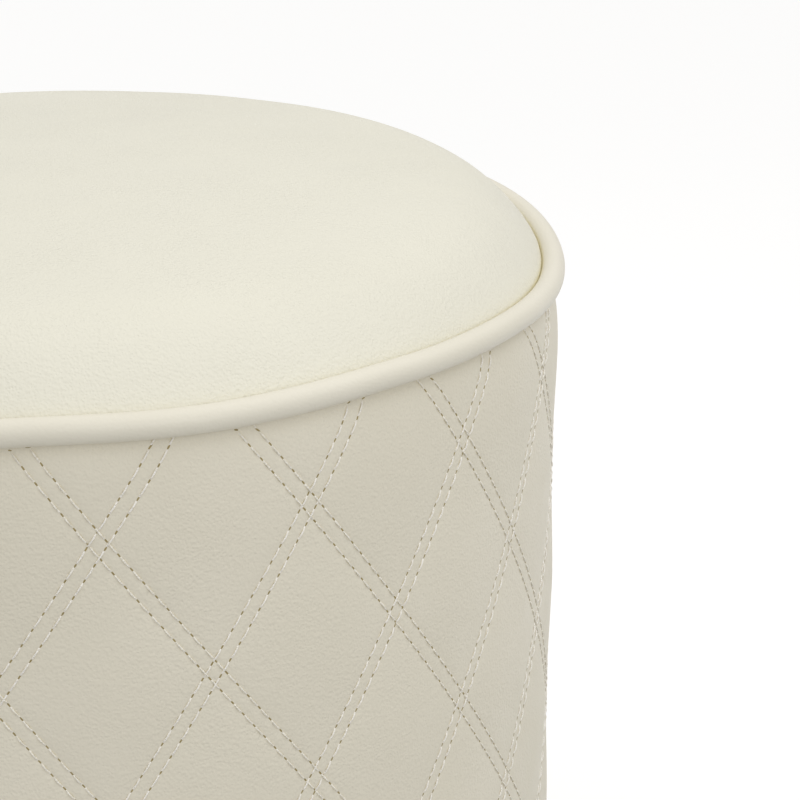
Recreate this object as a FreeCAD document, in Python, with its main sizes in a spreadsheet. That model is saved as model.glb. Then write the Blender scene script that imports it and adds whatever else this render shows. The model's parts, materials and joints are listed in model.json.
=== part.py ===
import FreeCAD, Part
import math
import os
import Sketcher

# Round drum pouf. Millimetres, +Z up, origin on the floor under the middle of the seat.
# A ring-shaped piece is drawn as its cross-section: across is the distance from the
# pouf's own axis, up is the height above the floor.

SIZES = [
    # (name, value, what it is)
    ("seat_height", 430.0, "floor to the highest point of the crown"),
    ("crown_rise", 38.0, "highest point of the crown above the piping's centre line"),
    ("cover_radius", 202.0, "outside of the side cover"),
    ("ground_clearance", 20.0, "floor to the lowest part of the underside"),
    ("leather", 1.1, "thickness of every leather piece"),
    ("cord_radius", 3.2, "piping cord"),
    ("piping_inset", 1.7, "piping's centre line inside the side cover's outside"),
    ("seam_drop", 2.5, "where the crown's edge turns straight down, below the piping's centre"),
    ("seam_allowance", 10.0, "leather turned down inside, below the seam"),
    ("allowance_gap", 1.0, "room under the turned-down leather"),
    ("edge_radius", 50.0, "rounding of the crown's edge"),
    ("edge_slope", 63.0, "slope of the crown where it rolls into the seam, in degrees"),
    ("turn_radius", 10.0, "last bend of the crown, down into the seam"),
    ("wadding", 6.0, "fibre layer over the seat foam"),
    ("quilt_foam", 8.0, "foam that the side cover is quilted to"),
    ("quilt_backing", 0.5, "backing cloth of the quilting"),
    ("wall", 3.0, "rolled hardboard wall"),
    ("wall_joint", 2.0, "open butt joint of the rolled wall"),
    ("board", 12.0, "base board and top board"),
    ("hem_fold", 6.0, "outside rounding of the side cover at the bottom"),
    ("hem_width", 35.0, "side cover's hem on the underside of the base board"),
    ("dust_cloth", 0.6, "dust cover"),
    ("dust_margin", 12.0, "dust cover's edge inside the side cover's outside"),
    ("dust_step", 3.0, "slope of the dust cover from the board to the hem"),
    ("post_count", 6, "posts, and screws at each end of them"),
    ("post_side", 38.0, "width of a square post"),
    ("post_gap", 0.3, "clearance between a post's outer corners and the wall"),
    ("vent_count", 6, "air holes in the top board"),
    ("vent_radius", 10.0, "air hole"),
    ("vent_ring", 80.0, "air holes from the axis"),
    ("foot_count", 4, "feet"),
    ("foot_top_radius", 22.0, "foot where it meets the underside"),
    ("foot_base_radius", 18.0, "foot where it meets its pad"),
    ("foot_margin", 1.0, "clearance between a foot and the dust cover's slope"),
    ("foot_recess_radius", 7.0, "recess for the screw's head"),
    ("foot_web", 6.0, "foot left above the recess"),
    ("pad", 3.0, "thickness of a foot's pad"),
    ("pad_margin", 1.0, "pad's edge inside the foot's edge"),
    ("screw_gap", 0.25, "clearance round a foot's screw"),
    ("post_screw_length", 50.0, "screw through a board into a post"),
    ("post_screw_radius", 2.0, "shank of a post's screw"),
    ("post_screw_head", 4.0, "radius of its countersunk head"),
    ("foot_screw_length", 16.0, "foot's screw under its head"),
    ("foot_screw_radius", 2.25, "shank of a foot's screw"),
    ("foot_screw_head", 4.5, "radius of its pan head"),
    ("foot_screw_head_height", 3.0, "height of its pan head"),
    ("staple_crown", 10.0, "staple's width over its legs"),
    ("staple_wire", 0.7, "staple's wire"),
    ("wall_staple_leg", 12.0, "leg of a wall staple"),
    ("wall_staple_count", 12, "staples round each board's edge"),
    ("hem_staple_leg", 8.0, "leg of a hem staple"),
    ("hem_staple_count", 24, "staples round the hem"),
    ("hem_staple_inset", 8.0, "hem staples from the hem's inner edge"),
    ("dust_staple_leg", 6.0, "leg of a dust cover staple"),
    ("dust_staple_count", 16, "staples round the dust cover"),
    ("dust_staple_inset", 6.0, "staples from the dust cover's outer edge"),
]

doc = FreeCAD.newDocument("pouf")
sheet = doc.addObject("Spreadsheet::Sheet", "Sizes")
for row, (name, value, note) in enumerate(SIZES, start=1):
    sheet.set(f"A{row}", name)
    sheet.set(f"B{row}", str(value))
    sheet.set(f"C{row}", note)
    sheet.setAlias(f"B{row}", name)
doc.recompute()


def size(name):
    """Expression for one cell of the sheet."""
    return f"Sizes.{name}"


def number(expression):
    """Present value of an expression."""
    return float(sheet.evalExpression(str(expression)))


def count(name):
    return int(number(size(name)))


# Places that several pieces share, as expressions of the sheet.
AXIS = "0"
COVER_R = size("cover_radius")
LEATHER = size("leather")
PIPING_Z = f"({size('seat_height')} - {size('crown_rise')})"
PIPING_R = f"({COVER_R} - {size('piping_inset')})"
TUBE = f"({size('cord_radius')} + {LEATHER})"
SEAM_R = f"({PIPING_R} - {TUBE})"
SEAM_Z = f"({PIPING_Z} - {size('seam_drop')})"
FLANGE_R = f"({SEAM_R} + 2 * {LEATHER})"
ALLOWANCE_Z = f"({SEAM_Z} - {size('seam_allowance')})"
DECK_Z = f"({ALLOWANCE_Z} - {size('allowance_gap')})"
TURN_IN = f"(({COVER_R} - {FLANGE_R}) / 2)"
TURN_IN_R = f"({COVER_R} - {TURN_IN})"
TURN_IN_Z = f"({PIPING_Z} - sqrt(({TUBE} + {TURN_IN})^2 - ({PIPING_R} - {TURN_IN_R})^2))"
SKIN_R = f"({COVER_R} - {LEATHER})"
QUILT_R = f"({SKIN_R} - {size('quilt_foam')})"
WALL_R = f"({QUILT_R} - {size('quilt_backing')})"
BOARD_R = f"({WALL_R} - {size('wall')})"
HEM_Z = f"({size('ground_clearance')} + {size('dust_cloth')})"
HEM_R = f"({COVER_R} - {size('hem_fold')})"
HEM_END_R = f"({HEM_R} - {size('hem_width')})"
BASE_Z = f"({HEM_Z} + {LEATHER})"
BASE_TOP_Z = f"({BASE_Z} + {size('board')})"
TOP_BOARD_Z = f"({DECK_Z} - {size('board')})"
POST_FACE_R = f"(sqrt({BOARD_R}^2 - ({size('post_side')} / 2)^2) - {size('post_gap')})"
POST_RING = f"({POST_FACE_R} - {size('post_side')} / 2)"
FOOT_TOP_Z = f"({BASE_Z} - {size('dust_cloth')})"
DUST_STEP_R = f"({HEM_END_R} - {size('dust_step')})"
DUST_R = f"({COVER_R} - {size('dust_margin')})"
FOOT_RING = f"({DUST_STEP_R} - {size('foot_margin')} - {size('foot_top_radius')})"
RECESS_TOP_Z = f"({FOOT_TOP_Z} - {size('foot_web')})"
BACK = 90.0  # direction of the wall's joint and of the first post, in degrees


def origin_plane(body, role):
    return next(item for item in body.Origin.OriginFeatures if item.Role == role)


def new_body(label):
    body = doc.addObject("PartDesign::Body", label)
    body.Label = label
    return body


def new_sketch(body, plane, offset=None):
    sketch = body.newObject("Sketcher::SketchObject", body.Name + "_sketch")
    sketch.AttachmentSupport = [(origin_plane(body, plane), "")]
    sketch.MapMode = "FlatFace"
    if offset:
        sketch.setExpression(".AttachmentOffset.Base.z", offset)
    return sketch


def constrain(sketch, kind, expression, *where):
    """Add a constraint whose value follows an expression."""
    index = sketch.addConstraint(Sketcher.Constraint(kind, *where, number(expression)))
    sketch.setExpression(f"Constraints[{index}]", expression)


def arc_between(start, end, radius, turn):
    """Arc of less than half a turn; turn is 1 for counterclockwise travel, -1 for clockwise."""
    chord = end - start
    rise = math.sqrt(max(radius**2 - (chord.Length / 2) ** 2, 0.0))
    left = FreeCAD.Vector(-chord.y, chord.x, 0).normalize()
    centre = start + chord / 2 + left * rise * turn
    first, last = (start, end) if turn > 0 else (end, start)
    circle = Part.Circle(centre, FreeCAD.Vector(0, 0, 1), radius)
    return Part.ArcOfCircle(circle, circle.parameter(first), circle.parameter(last))


def outline(sketch, corners):
    """Closed outline through corners of (across, up) expressions.

    A corner with two more entries, a radius and a turn, starts an arc to the next corner.
    """
    points = [FreeCAD.Vector(number(c[0]), number(c[1]), 0) for c in corners]
    starts, ends = [], []
    for i, corner in enumerate(corners):
        here, there = points[i], points[(i + 1) % len(points)]
        if len(corner) == 4:
            radius, turn = corner[2:]
            edge = sketch.addGeometry(arc_between(here, there, number(radius), turn), False)
            constrain(sketch, "Radius", radius, edge)
            starts.append((edge, 1 if turn > 0 else 2))
            ends.append((edge, 2 if turn > 0 else 1))
        else:
            edge = sketch.addGeometry(Part.LineSegment(here, there), False)
            starts.append((edge, 1))
            ends.append((edge, 2))
    for i, corner in enumerate(corners):
        sketch.addConstraint(Sketcher.Constraint("Coincident", *ends[i - 1], *starts[i]))
        if corner[0] == AXIS:
            sketch.addConstraint(Sketcher.Constraint("PointOnObject", *starts[i], -2))
        else:
            constrain(sketch, "DistanceX", corner[0], -1, 1, *starts[i])
        constrain(sketch, "DistanceY", corner[1], -1, 1, *starts[i])


def hole_circle(sketch, across, up, radius):
    centre = FreeCAD.Vector(number(across), number(up), 0)
    circle = Part.Circle(centre, FreeCAD.Vector(0, 0, 1), number(radius))
    edge = sketch.addGeometry(circle, False)
    constrain(sketch, "DistanceX", across, -1, 1, edge, 3)
    constrain(sketch, "DistanceY", up, -1, 1, edge, 3)
    constrain(sketch, "Radius", radius, edge)


def revolve(body, sketch, axis="V_Axis"):
    turned = body.newObject("PartDesign::Revolution", body.Name + "_turned")
    turned.Profile = sketch
    turned.ReferenceAxis = (sketch, [axis])
    turned.Angle = 360
    body.Tip = turned
    return turned


def turned_ring(label, corners):
    """Body of revolution about the pouf's axis."""
    body = new_body(label)
    sketch = new_sketch(body, "XZ_Plane")
    outline(sketch, corners)
    revolve(body, sketch)
    return body


def repeat_round(body, feature, occurrences):
    """Repeat a body's feature evenly about the pouf's axis."""
    pattern = body.newObject("PartDesign::PolarPattern", body.Name + "_round")
    pattern.Originals = [feature]
    pattern.Axis = (origin_plane(body, "Z_Axis"), [""])
    pattern.Angle = 360
    pattern.setExpression("Occurrences", occurrences)
    body.Tip = pattern


def turn_to(item, degrees):
    """Turn a finished item about the pouf's axis."""
    item.Placement = FreeCAD.Placement(
        FreeCAD.Vector(), FreeCAD.Rotation(FreeCAD.Vector(0, 0, 1), degrees)
    )


def ring_angles(how_many, first):
    return [first + 360.0 * i / how_many for i in range(how_many)]


def place_on_ring(item, ring, degrees, up, along="0", aside="0"):
    """Put an item's own origin on a ring, moved along the radius and aside from it."""
    item.Placement = FreeCAD.Placement(
        FreeCAD.Vector(), FreeCAD.Rotation(FreeCAD.Vector(0, 0, 1), degrees)
    )
    cos, sin = math.cos(math.radians(degrees)), math.sin(math.radians(degrees))
    reach = f"({ring} + {along})"
    item.setExpression(".Placement.Base.x", f"{reach} * {cos:.9f} - ({aside}) * {sin:.9f}")
    item.setExpression(".Placement.Base.y", f"{reach} * {sin:.9f} + ({aside}) * {cos:.9f}")
    item.setExpression(".Placement.Base.z", up)


def cut_seats(label, blank, tools):
    """Finished piece: the blank less the seats that its fasteners fill."""
    blank.Label = label + "_blank"
    seats = doc.addObject("Part::Compound", label + "_seats")
    seats.Links = tools
    piece = doc.addObject("Part::Cut", label)
    piece.Base = blank
    piece.Tool = seats
    piece.Label = label
    return piece


# The crown's section: a wide flat arc, the edge's arc, and a last bend down into the seam.
TURN_X = f"({SEAM_R} - {size('turn_radius')})"
SLOPE_SIN = f"sin({size('edge_slope')})"
SLOPE_COS = f"cos({size('edge_slope')})"
EDGE_X = f"({TURN_X} + ({size('turn_radius')} - {size('edge_radius')}) * {SLOPE_SIN})"
EDGE_Z = f"({SEAM_Z} + ({size('turn_radius')} - {size('edge_radius')}) * {SLOPE_COS})"
EDGE_DROP = f"({size('seat_height')} - {EDGE_Z})"
DOME = (
    f"(({EDGE_X}^2 + {EDGE_DROP}^2 - {size('edge_radius')}^2)"
    f" / (2 * ({EDGE_DROP} - {size('edge_radius')})))"
)
DOME_Z = f"({size('seat_height')} - {DOME})"


def crown_line(depth, reverse=False):
    """Corners of the crown's section, at a depth below its outside, from the axis outwards."""
    dome, edge = f"({DOME} - {depth})", f"({size('edge_radius')} - {depth})"
    turn = f"({size('turn_radius')} - {depth})"
    reach = f"({dome} / ({DOME} - {size('edge_radius')}))"
    points = [
        (AXIS, f"{size('seat_height')} - {depth}"),
        (f"{EDGE_X} * {reach}", f"{DOME_Z} + ({EDGE_Z} - {DOME_Z}) * {reach}"),
        (f"{EDGE_X} + {edge} * {SLOPE_SIN}", f"{EDGE_Z} + {edge} * {SLOPE_COS}"),
        (f"{SEAM_R} - {depth}", SEAM_Z),
    ]
    radii = [dome, edge, turn]
    if not reverse:
        return [(*p, r, -1) for p, r in zip(points, radii)] + [points[-1]]
    backwards = points[::-1]
    return [(*p, r, 1) for p, r in zip(backwards, radii[::-1])] + [backwards[-1]]


def top_cover():
    """Crown's leather, turned down into the seam."""
    end = [(SEAM_R, ALLOWANCE_Z), (f"{SEAM_R} - {LEATHER}", ALLOWANCE_Z)]
    return turned_ring("top_cover", crown_line("0") + end + crown_line(LEATHER, reverse=True))


def seat_wadding():
    """Fibre layer over the top and the side of the seat foam, down to the deck."""
    under = f"({LEATHER} + {size('wadding')})"
    end = [(f"{SEAM_R} - {LEATHER}", DECK_Z), (f"{SEAM_R} - {under}", DECK_Z)]
    return turned_ring("seat_wadding", crown_line(LEATHER) + end + crown_line(under, reverse=True))


def seat_foam():
    under = f"({LEATHER} + {size('wadding')})"
    end = [(f"{SEAM_R} - {under}", DECK_Z), (AXIS, DECK_Z)]
    return turned_ring("seat_foam", crown_line(under) + end)


def side_cover(fasteners):
    """Side panel: hem under the board, up the side, and turned in and down at the seam."""
    fold, fold_in = size("hem_fold"), f"({size('hem_fold')} - {LEATHER})"
    turn, turn_in = TURN_IN, f"({TURN_IN} - {LEATHER})"
    blank = turned_ring("side_cover_panel", [
        (HEM_END_R, HEM_Z),
        (HEM_R, HEM_Z, fold, 1),
        (COVER_R, f"{HEM_Z} + {fold}"),
        (COVER_R, TURN_IN_Z, turn, 1),
        (TURN_IN_R, f"{TURN_IN_Z} + {turn}", turn, 1),
        (FLANGE_R, TURN_IN_Z),
        (FLANGE_R, ALLOWANCE_Z),
        (f"{FLANGE_R} + {LEATHER}", ALLOWANCE_Z),
        (f"{FLANGE_R} + {LEATHER}", TURN_IN_Z, turn_in, -1),
        (TURN_IN_R, f"{TURN_IN_Z} + {turn_in}", turn_in, -1),
        (SKIN_R, TURN_IN_Z),
        (SKIN_R, f"{HEM_Z} + {fold}", fold_in, -1),
        (HEM_R, BASE_Z),
        (HEM_END_R, BASE_Z),
    ])
    return cut_seats("side_cover", blank, fasteners)


def quilt_foam():
    """Foam behind the side cover, with a thin lip up into the turned-in leather."""
    fold, fold_in = size("hem_fold"), f"({size('hem_fold')} - {LEATHER})"
    return turned_ring("quilt_foam", [
        (QUILT_R, BASE_Z),
        (HEM_R, BASE_Z, fold_in, 1),
        (SKIN_R, f"{HEM_Z} + {fold}"),
        (SKIN_R, TURN_IN_Z),
        (f"{FLANGE_R} + {LEATHER}", TURN_IN_Z),
        (f"{FLANGE_R} + {LEATHER}", DECK_Z),
        (QUILT_R, DECK_Z),
    ])


def quilt_backing():
    return turned_ring("quilt_backing", [
        (WALL_R, BASE_Z),
        (QUILT_R, BASE_Z),
        (QUILT_R, DECK_Z),
        (WALL_R, DECK_Z),
    ])


def piping_cord():
    cord = doc.addObject("Part::Torus", "piping_cord")
    cord.Label = "piping_cord"
    cord.setExpression("Radius1", PIPING_R)
    cord.setExpression("Radius2", size("cord_radius"))
    cord.setExpression(".Placement.Base.z", PIPING_Z)
    return cord


def piping_sleeve():
    """Leather strip round the cord, with its two edges together as a flange in the seam."""
    body = new_body("piping_sleeve")
    sketch = new_sketch(body, "XZ_Plane")
    flange_top = f"{PIPING_Z} - sqrt({TUBE}^2 - ({PIPING_R} - {FLANGE_R})^2)"
    outline(sketch, [
        (SEAM_R, ALLOWANCE_Z),
        (SEAM_R, PIPING_Z, TUBE, -1),
        (PIPING_R, f"{PIPING_Z} + {TUBE}", TUBE, -1),
        (f"{PIPING_R} + {TUBE}", PIPING_Z, TUBE, -1),
        (PIPING_R, f"{PIPING_Z} - {TUBE}", TUBE, -1),
        (FLANGE_R, flange_top),
        (FLANGE_R, ALLOWANCE_Z),
    ])
    hole_circle(sketch, PIPING_R, PIPING_Z, size("cord_radius"))
    revolve(body, sketch)
    return body


def wall_sheet(fasteners):
    """Hardboard rolled round the boards, with an open butt joint at the back."""
    sheet_wall = new_body("wall_sheet_rolled")
    sketch = new_sketch(sheet_wall, "XZ_Plane")
    outline(sketch, [(BOARD_R, BASE_Z), (WALL_R, BASE_Z), (WALL_R, DECK_Z), (BOARD_R, DECK_Z)])
    rolled = revolve(sheet_wall, sketch)
    rolled.Midplane = True
    rolled.setExpression("Angle", f"360 - {size('wall_joint')} / {BOARD_R} * 180 / pi")
    turn_to(sheet_wall, BACK - 180.0)
    return cut_seats("wall_sheet", sheet_wall, fasteners)


def round_board(label, bottom, vents):
    """Round board standing on a height, with a ring of air holes if vents is true."""
    body = new_body(label + "_disc")
    sketch = new_sketch(body, "XY_Plane", offset=bottom)
    edge = sketch.addGeometry(
        Part.Circle(FreeCAD.Vector(), FreeCAD.Vector(0, 0, 1), number(BOARD_R)), False
    )
    sketch.addConstraint(Sketcher.Constraint("Coincident", edge, 3, -1, 1))
    constrain(sketch, "Radius", BOARD_R, edge)
    disc = body.newObject("PartDesign::Pad", body.Name + "_pad")
    disc.Profile = sketch
    disc.setExpression("Length", size("board"))
    body.Tip = disc
    if vents:
        air_holes(body, bottom)
    return body


def air_holes(body, bottom):
    sketch = new_sketch(body, "XY_Plane", offset=bottom)
    centre = FreeCAD.Vector(number(size("vent_ring")), 0, 0)
    up = FreeCAD.Vector(0, 0, 1)
    edge = sketch.addGeometry(Part.Circle(centre, up, number(size("vent_radius"))), False)
    sketch.addConstraint(Sketcher.Constraint("PointOnObject", edge, 3, -1))
    constrain(sketch, "DistanceX", size("vent_ring"), -1, 1, edge, 3)
    constrain(sketch, "Radius", size("vent_radius"), edge)
    solid = body.Tip
    doc.recompute()
    before = solid.Shape.Volume
    hole = body.newObject("PartDesign::Pocket", body.Name + "_vent")
    hole.Profile = sketch
    hole.Type = "ThroughAll"
    hole.Reversed = True
    body.Tip = hole
    doc.recompute()
    if hole.Shape.Volume >= before:
        raise RuntimeError("the air hole cuts nothing")
    repeat_round(body, hole, size("vent_count"))


def post(i, degrees, fasteners):
    """Square post between the boards, its outer corners just inside the wall."""
    box = doc.addObject("Part::Box", f"post_{i}_block")
    box.setExpression("Length", size("post_side"))
    box.setExpression("Width", size("post_side"))
    box.setExpression("Height", f"{TOP_BOARD_Z} - {BASE_TOP_Z}")
    half = f"{size('post_side')} / 2"
    place_on_ring(box, POST_RING, degrees, BASE_TOP_Z, along=f"-{half}", aside=f"-{half}")
    return cut_seats(f"post_{i}", box, fasteners)


def screws(label, ring, corners, occurrences):
    """Screws standing on a ring; corners are each screw's half-section about its own axis."""
    body = new_body(label)
    sketch = new_sketch(body, "XZ_Plane")
    outline(sketch, [(f"{ring} + {c[0]}", c[1]) for c in corners])
    x, low, high = number(ring), number(corners[0][1]), number(corners[-1][1])
    line = Part.LineSegment(FreeCAD.Vector(x, low, 0), FreeCAD.Vector(x, high, 0))
    axis = sketch.addGeometry(line, True)
    sketch.addConstraint(Sketcher.Constraint("Vertical", axis))
    constrain(sketch, "DistanceX", ring, -1, 1, axis, 1)
    constrain(sketch, "DistanceY", corners[0][1], -1, 1, axis, 1)
    constrain(sketch, "DistanceY", corners[-1][1], -1, 1, axis, 2)
    repeat_round(body, revolve(body, sketch, "Axis0"), occurrences)
    return body


def post_screws(label, face_z, way):
    """Countersunk screws, flush with a board's face, pointing up (way 1) or down (way -1)."""
    shank, head = size("post_screw_radius"), size("post_screw_head")
    corners = [
        (AXIS, face_z),
        (head, face_z),
        (shank, f"{face_z} + ({head} - {shank}) * {way}"),
        (shank, f"{face_z} + ({size('post_screw_length')} - 2 * {shank}) * {way}"),
        (AXIS, f"{face_z} + {size('post_screw_length')} * {way}"),
    ]
    body = screws(label, POST_RING, corners, size("post_count"))
    turn_to(body, BACK)
    return body


def foot_screws():
    """Pan-head screws up through the feet into the base board."""
    shank, head = size("foot_screw_radius"), size("foot_screw_head")
    head_z = f"{RECESS_TOP_Z} - {size('foot_screw_head_height')}"
    corners = [
        (AXIS, head_z),
        (head, head_z),
        (head, RECESS_TOP_Z),
        (shank, RECESS_TOP_Z),
        (shank, f"{RECESS_TOP_Z} + {size('foot_screw_length')} - 2 * {shank}"),
        (AXIS, f"{RECESS_TOP_Z} + {size('foot_screw_length')}"),
    ]
    body = screws("foot_screws", FOOT_RING, corners, size("foot_count"))
    turn_to(body, first_foot_angle())
    return body


def first_foot_angle():
    """Feet stand midway, so that none is at the front, the back or the sides."""
    return 180.0 / count("foot_count")


def foot(i, degrees):
    """Tapered foot with a recess for its screw's head."""
    body = new_body(f"foot_{i}")
    sketch = new_sketch(body, "XZ_Plane")
    hole = f"({size('foot_screw_radius')} + {size('screw_gap')})"
    recess = size("foot_recess_radius")
    outline(sketch, [
        (recess, size("pad")),
        (size("foot_base_radius"), size("pad")),
        (size("foot_top_radius"), FOOT_TOP_Z),
        (hole, FOOT_TOP_Z),
        (hole, RECESS_TOP_Z),
        (recess, RECESS_TOP_Z),
    ])
    revolve(body, sketch)
    place_on_ring(body, FOOT_RING, degrees, "0")
    return body


def foot_pad(i, degrees):
    pad = doc.addObject("Part::Cylinder", f"foot_pad_{i}")
    pad.Label = f"foot_pad_{i}"
    pad.setExpression("Radius", f"{size('foot_base_radius')} - {size('pad_margin')}")
    pad.setExpression("Height", size("pad"))
    place_on_ring(pad, FOOT_RING, degrees, "0")
    return pad


def staple_corners(crown, leg, way):
    """Corners of a staple as (across, along): its crown at a level, its legs one way from it."""
    wire, half = size("staple_wire"), f"({size('staple_crown')} / 2)"
    tip, bridge = f"{crown} + {leg} * {way}", f"{crown} + {wire} * {way}"
    return [
        (f"-{half}", crown),
        (half, crown),
        (half, tip),
        (f"{half} - {wire}", tip),
        (f"{half} - {wire}", bridge),
        (f"{wire} - {half}", bridge),
        (f"{wire} - {half}", tip),
        (f"-{half}", tip),
    ]


def staples(label, plane, middle, corners, occurrences, first):
    """Staples round the axis; middle is where their wire's centre stands off the plane."""
    body = new_body(label)
    sketch = new_sketch(body, plane, offset=f"{middle} - {size('staple_wire')} / 2")
    outline(sketch, corners)
    staple = body.newObject("PartDesign::Pad", body.Name + "_pad")
    staple.Profile = sketch
    staple.setExpression("Length", size("staple_wire"))
    repeat_round(body, staple, occurrences)
    turn_to(body, first)
    return body


def wall_staples(label, height, how_many, first):
    """Level staples through the rolled wall, each crown sunk flush with its outside."""
    crown = f"sqrt({WALL_R}^2 - ({size('staple_crown')} / 2)^2)"
    corners = [(c[1], c[0]) for c in staple_corners(crown, size("wall_staple_leg"), -1)]
    return staples(label, "XY_Plane", height, corners, size(how_many), first)


def hem_staples():
    """Staples up through the hem into the base board, flush with the leather."""
    ring = f"({HEM_END_R} + {size('hem_staple_inset')})"
    corners = staple_corners(HEM_Z, size("hem_staple_leg"), 1)
    first = 180.0 / count("hem_staple_count")
    return staples("hem_staples", "YZ_Plane", ring, corners, size("hem_staple_count"), first)


def dust_cover_staples():
    """Staples up through the dust cover and the hem, flush with the cloth."""
    ring = f"({DUST_R} - {size('dust_staple_inset')})"
    corners = staple_corners(size("ground_clearance"), size("dust_staple_leg"), 1)
    first = 180.0 / count("dust_staple_count")
    label = "dust_cover_staples"
    return staples(label, "YZ_Plane", ring, corners, size("dust_staple_count"), first)


def dust_cover(fasteners):
    """Cloth under the base board, stepped down over the hem."""
    low, cloth = size("ground_clearance"), size("dust_cloth")
    blank = turned_ring("dust_cover_cloth", [
        (AXIS, f"{BASE_Z} - {cloth}"),
        (DUST_STEP_R, f"{BASE_Z} - {cloth}"),
        (HEM_END_R, low),
        (DUST_R, low),
        (DUST_R, HEM_Z),
        (HEM_END_R, HEM_Z),
        (DUST_STEP_R, BASE_Z),
        (AXIS, BASE_Z),
    ])
    return cut_seats("dust_cover", blank, fasteners)


def frame_pieces():
    """Boards, posts and rolled wall, with the screws and staples that hold them."""
    base_mid = f"({BASE_Z} + {size('board')} / 2)"
    top_mid = f"({DECK_Z} - {size('board')} / 2)"
    between = BACK + 180.0 / count("wall_staple_count")
    rows = {
        "base": wall_staples("wall_staples_base", base_mid, "wall_staple_count", between),
        "lower": wall_staples("wall_staples_lower", up_the_wall(1), "post_count", BACK),
        "upper": wall_staples("wall_staples_upper", up_the_wall(2), "post_count", BACK),
        "top": wall_staples("wall_staples_top", top_mid, "wall_staple_count", between),
    }
    low_screws = post_screws("base_post_screws", BASE_Z, 1)
    high_screws = post_screws("top_post_screws", DECK_Z, -1)
    into_posts = [low_screws, high_screws, rows["lower"], rows["upper"]]
    angles = ring_angles(count("post_count"), BACK)
    posts = [post(i, angle, into_posts) for i, angle in enumerate(angles, start=1)]
    top_blank = round_board("top_board", TOP_BOARD_Z, vents=True)
    top_board = cut_seats("top_board", top_blank, [high_screws, rows["top"]])
    wall = wall_sheet(list(rows.values()))
    return posts + [top_board, wall, high_screws, low_screws, *rows.values()]


def up_the_wall(third):
    """Height of a third of the way up between the boards."""
    return f"({BASE_TOP_Z} + ({TOP_BOARD_Z} - {BASE_TOP_Z}) * {third} / 3)"


def underside_pieces(low_screws, base_row):
    """Base board, hem, dust cover and feet: everything that the base's fasteners pass."""
    hem, dust, feet_screws = hem_staples(), dust_cover_staples(), foot_screws()
    into_base = [low_screws, base_row, hem, dust, feet_screws]
    base_board = cut_seats("base_board", round_board("base_board", BASE_Z, vents=False), into_base)
    pieces = [base_board, side_cover([hem, dust]), dust_cover([dust, feet_screws])]
    for i, angle in enumerate(ring_angles(count("foot_count"), first_foot_angle()), start=1):
        pieces += [foot(i, angle), foot_pad(i, angle)]
    return pieces + [hem, dust, feet_screws]


def soft_pieces():
    return [
        seat_foam(),
        seat_wadding(),
        top_cover(),
        piping_cord(),
        piping_sleeve(),
        quilt_backing(),
        quilt_foam(),
    ]


def check(pieces):
    """Stop before writing anything if an object failed or a shape is unsound."""
    doc.recompute()
    for item in doc.Objects:
        if "Invalid" in item.State or "Error" in item.State:
            raise RuntimeError(f"{item.Label} failed: {item.State}")
    for piece in pieces:
        if piece.Shape.isNull() or not piece.Shape.isValid() or not piece.Shape.Solids:
            raise RuntimeError(f"{piece.Label} has no sound solid")


def export(pieces):
    os.makedirs("parts", exist_ok=True)
    for piece in pieces:
        piece.Shape.exportStep(f"parts/{piece.Label}.step")
        print(f"{piece.Label}: {len(piece.Shape.Solids)} solid(s), {piece.Shape.Volume:.0f} mm3")


frame_list = frame_pieces()
by_label = {piece.Label: piece for piece in frame_list}
all_pieces = frame_list + soft_pieces()
all_pieces += underside_pieces(by_label["base_post_screws"], by_label["wall_staples_base"])
check(all_pieces)
export(all_pieces)
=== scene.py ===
"""Looks of the round ivory leather pouf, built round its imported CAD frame.

Metres, +Z up, the front towards -Y. Angles round the drum are counted from the front towards +X.
"""

import json
import math

import bmesh
import bpy
import numpy as np
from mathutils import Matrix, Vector


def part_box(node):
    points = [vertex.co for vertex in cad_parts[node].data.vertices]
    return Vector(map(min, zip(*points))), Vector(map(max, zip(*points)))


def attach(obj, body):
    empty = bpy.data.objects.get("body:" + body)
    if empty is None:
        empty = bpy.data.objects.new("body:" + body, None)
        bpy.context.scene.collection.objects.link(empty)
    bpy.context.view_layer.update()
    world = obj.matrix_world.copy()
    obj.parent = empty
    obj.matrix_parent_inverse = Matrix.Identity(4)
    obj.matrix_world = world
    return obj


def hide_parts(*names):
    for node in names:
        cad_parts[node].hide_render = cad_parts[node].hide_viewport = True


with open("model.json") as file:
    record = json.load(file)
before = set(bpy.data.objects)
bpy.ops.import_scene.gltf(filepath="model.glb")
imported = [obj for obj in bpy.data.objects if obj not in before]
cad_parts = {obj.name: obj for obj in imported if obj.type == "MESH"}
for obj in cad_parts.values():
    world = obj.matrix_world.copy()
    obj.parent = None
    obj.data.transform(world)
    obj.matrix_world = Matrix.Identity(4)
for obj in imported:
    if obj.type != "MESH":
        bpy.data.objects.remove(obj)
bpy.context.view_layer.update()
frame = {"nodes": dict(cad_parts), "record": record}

MM = 0.001
BODY = "root"
rng = np.random.default_rng(7)

# ---- Places taken from the CAD frame ---------------------------------------------------------

cover_low, cover_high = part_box("side_cover")
crown_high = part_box("top_cover")[1]
cord_low, cord_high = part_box("piping_cord")
sleeve_low, sleeve_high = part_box("piping_sleeve")
dust_low, dust_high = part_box("dust_cover")
backing_low, backing_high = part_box("quilt_backing")

COVER_R = cover_high.x
SEAT_Z = crown_high.z
SEAM_R = crown_high.x
HEM_Z = cover_low.z
ALLOWANCE_Z = sleeve_low.z
CORD_R = (cord_high.z - cord_low.z) / 2
PIPING_Z = (cord_high.z + cord_low.z) / 2
PIPING_R = cord_high.x - CORD_R
TUBE_R = sleeve_high.z - PIPING_Z
DECK_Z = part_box("seat_foam")[0].z
WADDING = SEAT_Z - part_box("seat_foam")[1].z

# ---- Sizes of the soft shapes ----------------------------------------------------------------

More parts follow.
